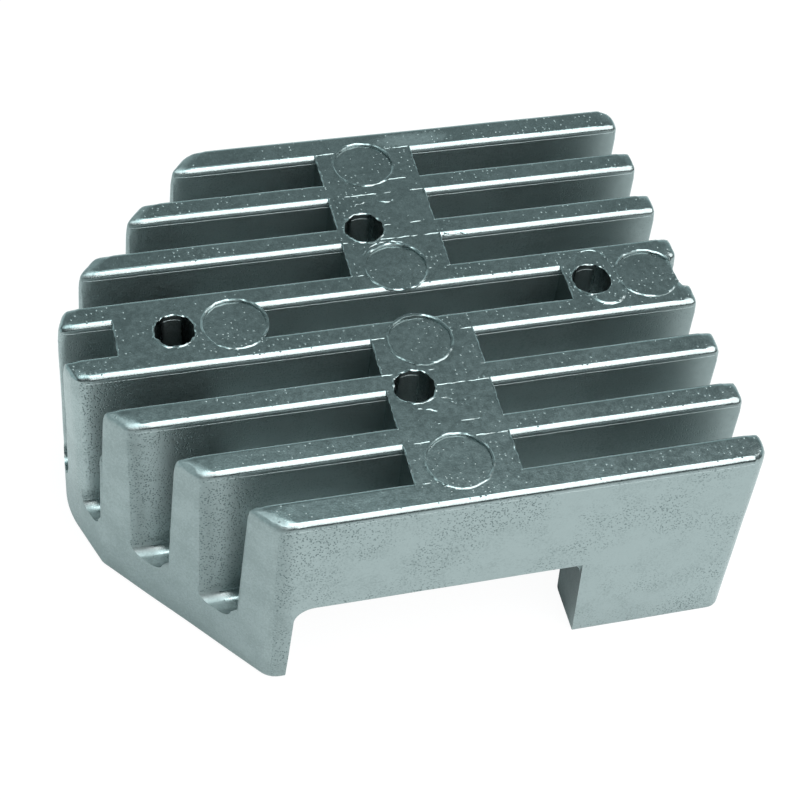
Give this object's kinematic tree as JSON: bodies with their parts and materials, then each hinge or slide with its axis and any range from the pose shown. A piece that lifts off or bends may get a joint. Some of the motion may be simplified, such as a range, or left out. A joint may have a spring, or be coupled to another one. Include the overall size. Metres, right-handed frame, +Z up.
{
  "type": "sacrificial anode",
  "caption": "Die-cast block anode with long cooling-style fins on top, through bolt holes, feet and an open channel underneath.",
  "frame": {"origin": "middle of the footprint, on the plane of the feet", "axes": "+X along the fins, from the rounded end to the square end; +Z up, from the feet to the fin tops"},
  "size_m": [0.123, 0.0962, 0.0472],
  "materials": {
    "anode_metal": "as die cast, bright with fine pits"
  },
  "bodies": {
    "root": {"anode_casting": "anode_metal"}
  },
  "joints": []
}
